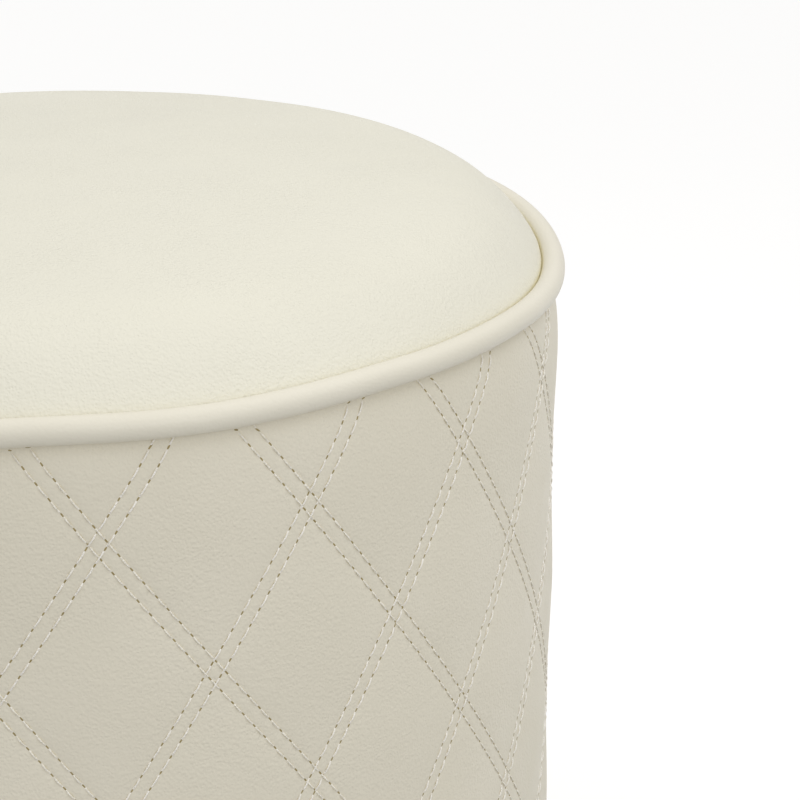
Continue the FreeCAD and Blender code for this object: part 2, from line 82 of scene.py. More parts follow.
LEATHER = 1.1 * MM
HEM_FOLD = 6.0 * MM  # outside rounding at the bottom of the side panel
HEM_WIDTH = 35.0 * MM
TURN_IN = (COVER_R - SEAM_R - 2 * LEATHER) / 2  # rounding of the panel's top edge
TURN_IN_Z = cover_high.z - TURN_IN
SEAM_DROP = 2.5 * MM  # the crown turns straight down this far below the piping's centre
EDGE_R = 50.0 * MM  # rounding of the crown's edge
EDGE_SLOPE = math.radians(63.0)
TURN_R = 10.0 * MM  # last bend of the crown, down into the seam

TUBE_SWELL = 0.2 * MM  # the piping's leather stands off its cord
PRESS = 0.8 * MM  # the crown and the side panel press this far into the piping

CREST = 1.0 * MM  # quilting stands this far proud of the plain cover
CREST_R = COVER_R + CREST
DIAMONDS = 18  # round the drum
STEP = 2 * math.pi / DIAMONDS
FIRST_CROSSING = 0.0677  # angle of one crossing of the upper row
ROW_Z = PIPING_Z - 0.1717 * CREST_R  # upper row of crossings
ROW_DROP = 0.248 * CREST_R  # from one row of crossings to the next
# Where the rows of diamonds wander up or down, and where the piping does: angle, rise, spread.
ROW_WANDER = [
    (0.0, -2.6, 0.45), (1.2, 4.9, 0.5), (2.5, 0.8, 0.3), (-0.9, 1.2, 0.3), (-2.1, -1.5, 0.4),
]
PIPING_WANDER = [
    (-0.04, 1.1, 0.13), (0.27, -0.75, 0.14), (0.56, 0.45, 0.1), (1.28, -3.3, 0.38), (2.2, 0.8, 0.3),
    (2.9, -0.5, 0.25), (-2.4, 0.7, 0.2), (-1.6, -0.9, 0.3), (-0.7, 0.6, 0.2),
]
NEEDLE_GAP = 0.0253 * CREST_R  # between the two needles' rows
STITCH = 0.0311 * CREST_R
LINE_RATE = math.hypot(1 / (STEP * CREST_R), 1 / (2 * ROW_DROP))  # stitched lines per metre
PUFF = 1.3 * MM  # crest of a diamond above its stitch lines
PINCH = 2.4 * MM  # the panel is drawn in further where it meets the piping
PUFF_REACH = 15.0 * MM
GROOVE = 0.22 * MM  # dent that the thread pulls along its row
GROOVE_WIDTH = 1.1 * MM
PINCH_REACH = 5.0 * MM  # how far down the pinch under the piping is felt
FADE_TOP = 7.0 * MM  # the diamonds flatten out this near the piping
FADE_BOTTOM = 6.0 * MM  # and this near the hem
FROM_STITCH_TO_CREST = 29.0 * MM
CLOSING_SEAM = 1.1 * MM  # depth of the closing seam at the back
CLOSING_SEAM_WIDTH = 2.2 * MM
FOLLOW_PIPING = 60.0 * MM  # the panel follows the piping's wander down to here

START_SMALLER = 1.3 * MM  # the crown's simulation starts this much inside its finished shape
CAP = 2.2 * MM  # the furthest that the simulation may move a point
HOLD = 0.1  # share of the hold that the cushion inside has on the leather
SIMULATED_FRAMES = 20
EVENING_PASSES = 30

# ---- Mesh helpers ----------------------------------------------------------------------------


def grid_faces(rows, columns, wrap=True):
    """Quads of a grid of points numbered row by row; wrap joins the last column to the first."""
    across = np.arange(columns if wrap else columns - 1)
    row = np.arange(rows - 1)[:, None] * columns
    here, beside = row + across, row + (across + 1) % columns
    return np.stack([here, beside, beside + columns, here + columns], axis=-1).reshape(-1, 4)


def new_piece(name, points, faces, material):
    mesh = bpy.data.meshes.new(name)
    points = np.asarray(points, dtype=np.float32).reshape(-1, 3)
    faces = np.asarray(faces, dtype=np.int32)
    mesh.vertices.add(len(points))
    mesh.vertices.foreach_set("co", points.ravel())
    mesh.loops.add(faces.size)
    mesh.loops.foreach_set("vertex_index", faces.ravel())
    mesh.polygons.add(len(faces))
    mesh.polygons.foreach_set("loop_start", np.arange(len(faces)) * faces.shape[1])
    mesh.polygons.foreach_set("use_smooth", np.full(len(faces), True))
    mesh.update(calc_edges=True)
    mesh.materials.append(material)
    piece = bpy.data.objects.new(name, mesh)
    bpy.context.scene.collection.objects.link(piece)
    return piece


def finish_piece(piece, slot, *nodes):
    """Fix a piece to the body and hide the CAD nodes that it stands for. The slot argument is not
    used.
    """
    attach(piece, BODY)
    if nodes:
        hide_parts(*nodes)
    return piece


def read_points(piece):
    flat = np.zeros(len(piece.data.vertices) * 3, dtype=np.float32)
    piece.data.vertices.foreach_get("co", flat)
    return flat.reshape(-1, 3).astype(float)


def write_points(piece, points):
    piece.data.vertices.foreach_set("co", points.astype(np.float32).ravel())
    piece.data.update()


def around(radius, angle, height):
    """Points at an angle round the drum, counted from the front towards +X."""
    radius, angle, height = np.broadcast_arrays(radius, angle, height)
    return np.stack([radius * np.sin(angle), -radius * np.cos(angle), height], axis=-1)


def waves(angle, lowest, highest, how_many):
    """Random waviness round the drum, from about -1 to 1."""
    counts = rng.integers(lowest, highest + 1, how_many)
    phases = rng.uniform(0, 2 * math.pi, how_many)
    total = sum(np.sin(c * angle + p) for c, p in zip(counts, phases))
    return total / math.sqrt(how_many)


def smooth_step(value):
    value = np.clip(value, 0, 1)
    return value * value * (3 - 2 * value)


def wander(angle, places):
    """Smooth rises and dips at a few places round the drum, in metres."""
    total = np.zeros_like(angle)
    for centre, rise, spread in places:
        away = (angle - centre + math.pi) % (2 * math.pi) - math.pi
        total += rise * MM * np.exp(-((away / spread) ** 2))
    return total


# ---- Materials -------------------------------------------------------------------------------


class Nodes:
    """Small builder for a material's node tree."""

    def __init__(self, name):
        self.material = bpy.data.materials.new(name)
        self.material.use_nodes = True
        self.tree = self.material.node_tree
        self.shader = self.tree.nodes["Principled BSDF"]

    def add(self, kind, inputs=None, **settings):
        node = self.tree.nodes.new(kind)
        for key, value in settings.items():
            setattr(node, key, value)
        for key, value in (inputs or {}).items():
            self.feed(node.inputs[key], value)
        return node

    def feed(self, socket, value):
        if isinstance(value, bpy.types.NodeSocket):
            self.tree.links.new(value, socket)
        else:
            socket.default_value = value

    def place(self, stretch=(1, 1, 1)):
        """Object coordinates in metres, stretched."""
        where = self.add("ShaderNodeTexCoord").outputs["Object"]
        return self.add("ShaderNodeMapping", {"Vector": where, "Scale": stretch}).outputs[0]

    def noise(self, scale, detail=3.0, rough=0.5, stretch=(1, 1, 1)):
        where = self.place(stretch)
        inputs = {"Vector": where, "Scale": scale, "Detail": detail, "Roughness": rough}
        return self.add("ShaderNodeTexNoise", inputs).outputs[0]

    def cells(self, scale, feature="F1", warp=0.0):
        """Distance to scattered points, their places disturbed by noise where warp isn't nought."""
        where = self.place()
        if warp:
            noise = self.add("ShaderNodeTexNoise", {"Vector": where, "Scale": scale * 0.7})
            where = self.add(
                "ShaderNodeMix",
                {0: warp, 4: where, 5: noise.outputs["Color"]},
                data_type="VECTOR",
            ).outputs[1]
        inputs = {"Vector": where, "Scale": scale}
        return self.add("ShaderNodeTexVoronoi", inputs, feature=feature).outputs["Distance"]

    def ramp(self, factor, low, high, start=0.0, end=1.0):
        """A value remapped, held at its ends."""
        inputs = {"Value": factor, "To Min": low, "To Max": high}
        inputs |= {"From Min": start, "From Max": end}
        return self.add("ShaderNodeMapRange", inputs).outputs[0]

    def blend(self, factor, first, second):
        """Mix of two colours, each of them a tuple or a socket."""
        node = self.add("ShaderNodeMix", data_type="RGBA")
        ends = [c if isinstance(c, bpy.types.NodeSocket) else (*c, 1.0) for c in (first, second)]
        self.feed(node.inputs[0], factor)
        self.feed(node.inputs[6], ends[0])
        self.feed(node.inputs[7], ends[1])
        return node.outputs[2]

    def math(self, operation, first, second):
        node = self.add("ShaderNodeMath", operation=operation)
        self.feed(node.inputs[0], first)
        self.feed(node.inputs[1], second)
        return node.outputs[0]

    def bump(self, height, depth):
        inputs = {"Height": height, "Distance": depth, "Strength": 1.0}
        return self.add("ShaderNodeBump", inputs).outputs[0]

    def surface(self, **sockets):
        """Set the shader's sockets; underscores in a name stand for spaces."""
        for key, value in sockets.items():
            self.feed(self.shader.inputs[key.replace("_", " ")], value)
        return self.material


def srgb(red, green, blue):
    """Linear colour from an 8-bit sRGB one."""
    return tuple(((c / 255 + 0.055) / 1.055) ** 2.4 for c in (red, green, blue))


def leather_material(name, light, dark, grain_depth, roughness):
    """Ivory leather: fine pebble grain, slow changes of tone, a few dark pores, and painted shade:
    creases tinted warm and darker through an ambient-occlusion mask.
    """
    nodes = Nodes(name)
    tone = nodes.blend(nodes.ramp(nodes.noise(9.0, detail=4.0), 0.0, 1.0, 0.3, 0.7), light, dark)
    pores = nodes.ramp(nodes.cells(13.0), 1.0, 0.0, 0.004, 0.010)
    tone = nodes.blend(pores, tone, srgb(120, 108, 80))
    # Painted shade and bounce light: where ambient occlusion finds a crease, the colour is tinted
    # towards a warm darker tone.
    painted_crease_shade = nodes.add("ShaderNodeAmbientOcclusion", {"Distance": 2.2 * MM}, samples=4)
    tone = nodes.blend(nodes.ramp(painted_crease_shade.outputs["AO"], 0.55, 0.0, 0.15, 0.6), tone, PAINTED_CREASE_SHADE)
    pebbles = nodes.cells(1050.0, feature="SMOOTH_F1", warp=0.0006)
    creases = nodes.noise(420.0, detail=4.0, rough=0.6)
    height = nodes.math("ADD", pebbles, nodes.math("MULTIPLY", creases, 0.8))
    patches = nodes.ramp(nodes.noise(28.0, detail=2.0), 0.7, 1.0, 0.35, 0.65)
    grain = nodes.bump(nodes.math("MULTIPLY", height, patches), grain_depth)
    wear = nodes.ramp(nodes.noise(60.0, detail=3.0), roughness - 0.04, roughness + 0.05, 0.3, 0.7)
    return nodes.surface(Base_Color=tone, Roughness=wear, Specular_IOR_Level=0.42, Normal=grain)


def thread_material(name, light, dark):
    """Bonded sewing thread, with its twist as fine ridges."""
    nodes = Nodes(name)
    twist = nodes.cells(1500.0)
    tone = nodes.blend(nodes.ramp(twist, 0.0, 1.0, 0.2, 0.7), light, dark)
    return nodes.surface(Base_Color=tone, Roughness=0.42, Normal=nodes.bump(twist, 0.0003))


# Brownish dark colour standing in for the shade inside a needle hole: painted shade.
def hole_shade_material():
    nodes = Nodes("needle_hole_shade")
    tone = nodes.blend(nodes.noise(900.0), srgb(188, 172, 126), srgb(128, 112, 70))
    return nodes.surface(Base_Color=tone, Roughness=0.85, Specular_IOR_Level=0.1)


def wood_material(name, light, dark, along, rings):
    """Sawn wood whose grain runs along one axis."""
    nodes = Nodes(name)
    stretch = [12.0 if axis != along else 1.0 for axis in range(3)]
    grain = nodes.noise(rings, detail=6.0, rough=0.65, stretch=stretch)
    fibres = nodes.noise(rings * 8, detail=2.0, stretch=stretch)
    tone = nodes.blend(nodes.ramp(grain, 0.0, 1.0, 0.35, 0.65), light, dark)
    return nodes.surface(Base_Color=tone, Roughness=0.62, Normal=nodes.bump(fibres, 0.0003))


def hardboard_material():
    nodes = Nodes("hardboard")
    flecks = nodes.noise(500.0, detail=5.0, rough=0.7)
    tone = nodes.blend(flecks, srgb(136, 98, 64), srgb(94, 64, 40))
    return nodes.surface(Base_Color=tone, Roughness=0.7, Normal=nodes.bump(flecks, 0.0002))


def foam_material():
    nodes = Nodes("foam")
    pores = nodes.cells(900.0)
    tone = nodes.blend(pores, srgb(226, 214, 168), srgb(242, 234, 198))
    return nodes.surface(Base_Color=tone, Roughness=0.9, Normal=nodes.bump(pores, 0.0006))


def cloth_material(name, light, dark, threads, roughness):
    """Plain weave, as two crossed sets of fine ribs broken up by noise."""
    nodes = Nodes(name)
    along = nodes.noise(threads, detail=1.0, stretch=(1, 0.12, 1))
    across = nodes.noise(threads, detail=1.0, stretch=(0.12, 1, 1))
    weave = nodes.math("MAXIMUM", along, across)
    tone = nodes.blend(nodes.ramp(weave, 0.0, 1.0, 0.4, 0.7), dark, light)
    return nodes.surface(Base_Color=tone, Roughness=roughness, Normal=nodes.bump(weave, 0.0003))


def plastic_material():
    nodes = Nodes("foot_plastic")
    texture = nodes.noise(1400.0, detail=2.0)
    tone = nodes.blend(nodes.noise(40.0), srgb(34, 33, 32), srgb(46, 45, 43))
    return nodes.surface(Base_Color=tone, Roughness=0.48, Normal=nodes.bump(texture, 0.0001))


def steel_material(name, light, dark):
    nodes = Nodes(name)
    brushing = nodes.noise(900.0, detail=3.0, stretch=(1, 1, 0.1))
    tone = nodes.blend(brushing, light, dark)
    rough = nodes.ramp(brushing, 0.25, 0.42)
    return nodes.surface(Base_Color=tone, Roughness=rough, Metallic=1.0)


# Warm darker tone painted into creases, standing in for shade and bounce light.
PAINTED_CREASE_SHADE = srgb(224, 213, 158)
CROWN_LEATHER = leather_material(
    "crown_leather", srgb(231, 228, 213), srgb(227, 224, 209), 0.00032, 0.46
)
SIDE_LEATHER = leather_material(
    "side_leather", srgb(231, 225, 208), srgb(225, 219, 201), 0.00026, 0.5
)
PIPING_LEATHER = leather_material(
    "piping_leather", srgb(230, 225, 210), srgb(225, 220, 204), 0.00012, 0.42
)
# One thread in two tones: the falling rows get a darker copy, painted shade standing in for how the
# light falls on them.
THREAD_PAINTED_LIT = thread_material("thread_painted_lit", srgb(255, 252, 246), srgb(248, 243, 233))
THREAD_PAINTED_SHADE = thread_material("thread_painted_shade", srgb(252, 248, 238), srgb(238, 232, 217))
HOLE_SHADE = hole_shade_material()
PLY = wood_material("plywood", srgb(214, 184, 136), srgb(178, 142, 96), 0, 14.0)
PINE = wood_material("pine", srgb(232, 200, 146), srgb(198, 156, 100), 2, 20.0)
HARDBOARD = hardboard_material()
FOAM = foam_material()
WADDING_FIBRE = cloth_material("wadding", srgb(246, 246, 243), srgb(228, 228, 224), 300.0, 0.95)
BACKING = cloth_material("backing_cloth", srgb(236, 234, 226), srgb(206, 203, 194), 900.0, 0.9)
DUST_CLOTH = cloth_material("dust_cloth", srgb(52, 52, 54), srgb(28, 28, 30), 1100.0, 0.92)
CORD_COTTON = cloth_material("cord_cotton", srgb(238, 234, 222), srgb(212, 206, 190), 700.0, 0.9)
FELT = cloth_material("felt", srgb(92, 88, 82), srgb(66, 62, 58), 800.0, 0.95)
PLASTIC = plastic_material()
SCREW_STEEL = steel_material("screw_steel", srgb(206, 204, 196), srgb(170, 166, 152))
STAPLE_STEEL = steel_material("staple_steel", srgb(214, 215, 218), srgb(184, 186, 190))

# ---- Quilted side panel ----------------------------------------------------------------------


def drift(angle):
    return wander(angle, ROW_WANDER)


def lattice(angle, up):
    """Place in the quilting: each whole number of either result is a line between two rows."""
    across = (angle - FIRST_CROSSING) / STEP
    down = (ROW_Z + drift(angle) - up) / (2 * ROW_DROP)
    return across - down, across + down


def from_lattice(falling, rising):
    """Angle and height, along the panel, of a place in the quilting."""
    angle = FIRST_CROSSING + (falling + rising) / 2 * STEP
    return angle, ROW_Z + drift(angle) - (rising - falling) * ROW_DROP


def line_distance(place):
    """Distance from a double row's centre line, in metres."""
    return np.abs(place - np.round(place)) / LINE_RATE


def swell(distance, reach):
    return 1 - np.exp(-np.maximum(distance, 0) / reach)


def puff_height(angle, up):
    """How far the quilted skin stands off the plain cover."""
    falling, rising = (line_distance(p) for p in lattice(angle, up))
    half_gap = NEEDLE_GAP / 2
    puff = swell(falling - half_gap, PUFF_REACH) * swell(rising - half_gap, PUFF_REACH)
    under = np.maximum(TURN_IN_Z - up, 0)
    top = swell(under, FADE_TOP)
    bottom = swell(up - HEM_Z, FADE_BOTTOM)
    full = swell(FROM_STITCH_TO_CREST - half_gap, PUFF_REACH) ** 2
    dent = sum(np.exp(-(((d - half_gap) / GROOVE_WIDTH) ** 2)) for d in (falling, rising))
    seam = np.exp(-((math.pi - np.abs(angle)) * COVER_R / CLOSING_SEAM_WIDTH))
    height = CREST - PUFF + PUFF * puff / full * top * bottom
    pinch = PINCH * np.exp(-under / PINCH_REACH)
    return height - GROOVE * dent * bottom - pinch - CLOSING_SEAM * seam


FOLD_LENGTH = HEM_FOLD * math.pi / 2
FOLD_Z = HEM_Z + HEM_FOLD
PANEL_LOW = FOLD_Z - FOLD_LENGTH - HEM_WIDTH - LEATHER
PANEL_HIGH = TURN_IN_Z + TURN_IN * math.pi + (TURN_IN_Z - ALLOWANCE_Z)


def panel_path(up):
    """Radius and height of the plain panel, and its outward direction, along its own length."""
    low = np.clip((FOLD_Z - up) / HEM_FOLD, 0, math.pi / 2)
    high = np.clip((up - TURN_IN_Z) / TURN_IN, 0, math.pi)
    inward = np.clip(FOLD_Z - FOLD_LENGTH - up, 0, HEM_WIDTH)
    raw_edge = np.maximum(FOLD_Z - FOLD_LENGTH - up - HEM_WIDTH, 0)
    down = np.maximum(up - TURN_IN_Z - TURN_IN * math.pi, 0)
    radius = COVER_R - HEM_FOLD * (1 - np.cos(low)) - inward - TURN_IN * (1 - np.cos(high))
    height = np.clip(up, FOLD_Z, TURN_IN_Z) - HEM_FOLD * np.sin(low) + TURN_IN * np.sin(high)
    return radius, height + raw_edge - down, np.cos(low) * np.cos(high), np.sin(high) - np.sin(low)


def panel_points(angle, up, lift=0.0):
    """Points of the quilted skin; above the seam line it runs straight up into the piping."""
    radius, height, out, upward = panel_path(up)
    off = puff_height(angle, np.minimum(up, TURN_IN_Z)) + lift
    turned = np.clip((up - TURN_IN_Z) / (TURN_IN * math.pi / 2), 0, 1)
    drawn_in = np.minimum(radius, COVER_R + off)
    radius = np.where(up > TURN_IN_Z, drawn_in, radius + out * off)
    height = height + np.where(up > TURN_IN_Z, PRESS * turned, upward * off)
    follow = smooth_step(1 - (TURN_IN_Z - up) / FOLLOW_PIPING)
    return around(radius, angle, height + wander(angle, PIPING_WANDER) * follow)


def cell_fractions():
    """Places across one diamond, crowded towards its stitched edges."""
    half_gap = NEEDLE_GAP / 2 * LINE_RATE
    near_needles = half_gap * np.array([0.0, 0.5, 0.8, 1.0, 1.2, 1.5])
    to_middle = np.linspace(2.1 * half_gap, 0.5, 7)
    half = np.concatenate([near_needles, to_middle])
    return np.concatenate([half, 1 - half[-2:0:-1]])


def flat_panel(margin):
    """Quads of the quilting in (distance round, length up), a little past the panel's outline."""
    cells = range(-DIAMONDS, DIAMONDS)
    stops = np.concatenate([cell + cell_fractions() for cell in cells] + [[DIAMONDS]])
    falling, rising = np.meshgrid(stops, stops, indexing="ij")
    angle, up = from_lattice(falling, rising)
    faces = grid_faces(len(stops), len(stops), wrap=False)
    middle_angle, middle_up = (a.ravel()[faces].mean(axis=1) for a in (angle, up))
    keep = (np.abs(middle_angle) < math.pi + margin) & (middle_up > PANEL_LOW - margin * CREST_R)
    faces = faces[keep & (middle_up < PANEL_HIGH + margin * CREST_R)]
    used, renumbered = np.unique(faces, return_inverse=True)
    points = np.stack([angle.ravel() * CREST_R, up.ravel(), np.zeros(angle.size)], axis=-1)
    return points[used], renumbered.reshape(-1, 4)


def cut_line(mesh, place, normal, trim):
    """Cut every face along a line; trim also takes away what lies beyond it."""
    geometry = mesh.verts[:] + mesh.edges[:] + mesh.faces[:]
    bmesh.ops.bisect_plane(
        mesh, geom=geometry, dist=1e-7, plane_co=place, plane_no=normal, clear_outer=trim
    )


def side_panel():
    """One strip of leather: quilted, turned in at the seam and hemmed under the board."""
    points, faces = flat_panel(margin=0.05)
    piece = new_piece("side_panel", points, faces, SIDE_LEATHER)
    mesh = bmesh.new()
    mesh.from_mesh(piece.data)
    half = math.pi * CREST_R
    cut_line(mesh, (half, 0, 0), (1, 0, 0), True)
    cut_line(mesh, (-half, 0, 0), (-1, 0, 0), True)
    cut_line(mesh, (0, PANEL_HIGH, 0), (0, 1, 0), True)
    cut_line(mesh, (0, PANEL_LOW, 0), (0, -1, 0), True)
    hem_fold = np.linspace(FOLD_Z - FOLD_LENGTH, FOLD_Z, 7)
    under_piping = TURN_IN_Z - np.array([14, 10, 7, 5, 3.5, 2.2, 1.2]) * MM
    turned_in = np.linspace(TURN_IN_Z, TURN_IN_Z + TURN_IN * math.pi, 9)
    for up in (*hem_fold, *under_piping, *turned_in):
        cut_line(mesh, (0, up, 0), (0, 1, 0), False)
    beside_seam = np.array([0.8, 2.0, 3.6]) * MM
    for side in (1, -1):
        for gap in beside_seam:
            cut_line(mesh, (side * (half - gap), 0, 0), (1, 0, 0), False)
    mesh.to_mesh(piece.data)
    mesh.free()
    flat = read_points(piece)
    write_points(piece, panel_points(flat[:, 0] / CREST_R, flat[:, 1]))
    weld(piece)
    return finish_piece(piece, "leather", "side_cover")


def weld(piece):
    """Join what meets at the closing seam, and turn every face outwards."""
    mesh = bmesh.new()
    mesh.from_mesh(piece.data)
    bmesh.ops.remove_doubles(mesh, verts=mesh.verts, dist=1e-6)
    bmesh.ops.dissolve_degenerate(mesh, dist=1e-7, edges=mesh.edges)
    bmesh.ops.recalc_face_normals(mesh, faces=mesh.faces)
    mesh.to_mesh(piece.data)
    mesh.free()


# ---- Stitches --------------------------------------------------------------------------------


def row_points(falling_line, place, ups):
    """Angles where one needle's row crosses each height."""
    angle = np.zeros_like(ups)
    for _ in range(4):
        down = (ROW_Z + drift(angle) - ups) / (2 * ROW_DROP)
        angle = FIRST_CROSSING + (place + down if falling_line else place - down) * STEP
    return (angle + math.pi) % (2 * math.pi) - math.pi


def stitch_rows(falling_line, side):
    """Needle holes, as (angle, up) arrays, of every row of one kind."""
    half_gap = NEEDLE_GAP / 2 * LINE_RATE
    drop = STITCH * ROW_DROP / math.hypot(ROW_DROP, STEP / 2 * CREST_R)
    rows = []
    for line in range(DIAMONDS):
        start = TURN_IN_Z + FIRST_STITCH + rng.uniform(0, drop)
        how_many = int((start - FOLD_Z + LAST_STITCH) / drop)
        ups = start - drop * np.arange(how_many) + rng.normal(0, UNEVEN_STITCH, how_many)
        rows.append((row_points(falling_line, line + side * half_gap, ups), ups))
    return rows


def surface_frames(angle, up, ahead_angle, ahead_up):
    """Point on the skin, direction of sewing, and the skin's outward direction."""
    small = 0.3 * MM
    here = panel_points(angle, up)
    beside = panel_points(angle + small / CREST_R, up) - here
    above = panel_points(angle, up + small) - here
    outward = np.cross(beside, above)
    outward /= np.linalg.norm(outward, axis=-1, keepdims=True)
    along = panel_points(ahead_angle, ahead_up) - here
    along -= outward * np.sum(along * outward, axis=-1, keepdims=True)
    along /= np.linalg.norm(along, axis=-1, keepdims=True)
    return here, along, outward


FIRST_STITCH = 2.0 * MM  # the rows run up behind the piping by at least this
LAST_STITCH = 6.0 * MM  # and down this far past the start of the bottom's rounding
UNEVEN_STITCH = 0.12 * MM
THREAD_R = 0.33 * MM
RISE = 0.34 * MM  # middle of a stitch above the skin
DIVE = 0.85 * MM  # ends of a stitch below it
HOLE_LENGTH = 1.15 * MM  # half of a needle hole's length along the row
HOLE_WIDTH = 0.30 * MM
HOLE_RIM = 0.03 * MM  # rim of a hole above the skin
HOLE_MIDDLE = 0.10 * MM
HOLE_CORNERS = 8


def stitches(name, rows, thread):
    """Every stitch of some rows: a short arc of thread that dives in at both needle holes."""
    starts = [(a[:-1], u[:-1], a[1:], u[1:]) for a, u in rows]
    angle, up, next_angle, next_up = (np.concatenate(s) for s in zip(*starts))
    turn = (next_angle - angle + math.pi) % (2 * math.pi) - math.pi
    share = np.linspace(0, 1, 9)
    a = angle[:, None] + turn[:, None] * share
    u = up[:, None] + (next_up - up)[:, None] * share
    small = 0.02
    points, along, outward = surface_frames(
        a, u, a + turn[:, None] * small, u + (next_up - up)[:, None] * small
    )
    rise = -DIVE + (RISE + DIVE) * np.sin(math.pi * share) ** 0.6
    points = points + outward * rise[None, :, None]
    sideways = np.cross(along, outward)
    turn_angles = np.linspace(0, 2 * math.pi, 6, endpoint=False)
    spokes = (
        sideways[:, :, None, :] * np.cos(turn_angles)[None, None, :, None]
        + outward[:, :, None, :] * np.sin(turn_angles)[None, None, :, None]
    )
    rings = points[:, :, None, :] + spokes * THREAD_R
    one = grid_faces(len(share), len(turn_angles))
    size = len(share) * len(turn_angles)
    faces = (one[None] + np.arange(len(angle))[:, None, None] * size).reshape(-1, 4)
    piece = new_piece(name, rings, faces, thread)
    return finish_piece(piece, None)


def needle_holes(rows):
    """Painted shade of the needle holes: dark patches drawn out along their rows."""
    angle = np.concatenate([a[1:] for a, _ in rows])
    up = np.concatenate([u[1:] for _, u in rows])
    back = np.concatenate([a[:-1] for a, _ in rows])
    back_up = np.concatenate([u[:-1] for _, u in rows])
    points, along, outward = surface_frames(angle, up, back, back_up)
    sideways = np.cross(along, outward)
    turn_angles = np.linspace(0, 2 * math.pi, HOLE_CORNERS, endpoint=False)
    stretch = rng.uniform(0.75, 1.15, len(angle))[:, None, None]
    rim = (
        along[:, None, :] * (np.cos(turn_angles) * HOLE_LENGTH)[None, :, None] * stretch
        + sideways[:, None, :] * (np.sin(turn_angles) * HOLE_WIDTH)[None, :, None]
    )
    rim = points[:, None, :] + rim + outward[:, None, :] * HOLE_RIM
    middle = (points + outward * HOLE_MIDDLE)[:, None, :]
    corners = np.concatenate([middle, rim], axis=1)
    spoke = np.arange(HOLE_CORNERS)
    one = np.stack([np.zeros_like(spoke), 1 + (spoke + 1) % HOLE_CORNERS, 1 + spoke], axis=-1)
    faces = one[None] + np.arange(len(angle))[:, None, None] * (HOLE_CORNERS + 1)
    faces = faces.reshape(-1, 3)
    return finish_piece(new_piece("needle_holes", corners, faces, HOLE_SHADE), None)


# ---- Crown -----------------------------------------------------------------------------------


def crown_section(distances, depth=0.0):
    """Radius and height of the crown's outside, or of a layer this deep in it.

    Distances are measured along the outside from the middle. The third result is its length.
    """
    turn_x, seam_z = SEAM_R - TURN_R, PIPING_Z - SEAM_DROP
    edge_x = turn_x + (TURN_R - EDGE_R) * math.sin(EDGE_SLOPE)
    edge_z = seam_z + (TURN_R - EDGE_R) * math.cos(EDGE_SLOPE)
    fall = SEAT_Z - edge_z
    dome = (edge_x**2 + fall**2 - EDGE_R**2) / (2 * (fall - EDGE_R))
    flat_end = math.atan2(edge_x, edge_z - SEAT_Z + dome)
    arcs = [
        (0.0, SEAT_Z - dome, dome, 0.0, flat_end),
        (edge_x, edge_z, EDGE_R, flat_end, EDGE_SLOPE),
        (turn_x, seam_z, TURN_R, EDGE_SLOPE, math.pi / 2),
    ]
    length = sum(size * (last - first) for _, _, size, first, last in arcs)
    radius = SEAM_R - depth + np.zeros_like(distances)
    height = seam_z - (distances - length)
    done = 0.0
    for x, z, size, first, last in arcs:
        slope = first + np.clip(distances - done, 0, None) / size
        inside = (distances >= done) & (slope <= last + 1e-12)
        radius = np.where(inside, x + (size - depth) * np.sin(slope), radius)
        height = np.where(inside, z + (size - depth) * np.cos(slope), height)
        done += size * (last - first)
    return radius, height, length


CROWN_CELLS = 60  # quads across the crown's flat middle
CROWN_CORE = 0.6  # share of the crown that the flat middle takes up
CROWN_EDGE = 20 * MM  # finer rings this near the seam
FULL_SIZE_EDGE = 50 * MM  # the simulation starts smaller only inside this
FREE_FROM = 1 * MM  # points this far above the seam's turn are free to move


def disc_grid(cells):
    """Even quads over a unit disc, with 4 * cells points on its rim, in order."""
    side = np.linspace(-1, 1, cells + 1)
    u, v = np.meshgrid(side, side, indexing="ij")
    big = np.abs(u) >= np.abs(v)
    safe_u, safe_v = np.where(u == 0, 1, u), np.where(v == 0, 1, v)
    radius = np.where(big, u, v)
    turn = np.where(big, math.pi / 4 * v / safe_u, math.pi / 2 - math.pi / 4 * u / safe_v)
    points = np.stack([radius * np.cos(turn), radius * np.sin(turn)], axis=-1).reshape(-1, 2)
    index = np.arange((cells + 1) ** 2).reshape(cells + 1, cells + 1)
    rim = np.concatenate([index[-1, :-1], index[:0:-1, -1], index[0, :0:-1], index[:-1, 0]])
    return points, grid_faces(cells + 1, cells + 1, wrap=False), rim


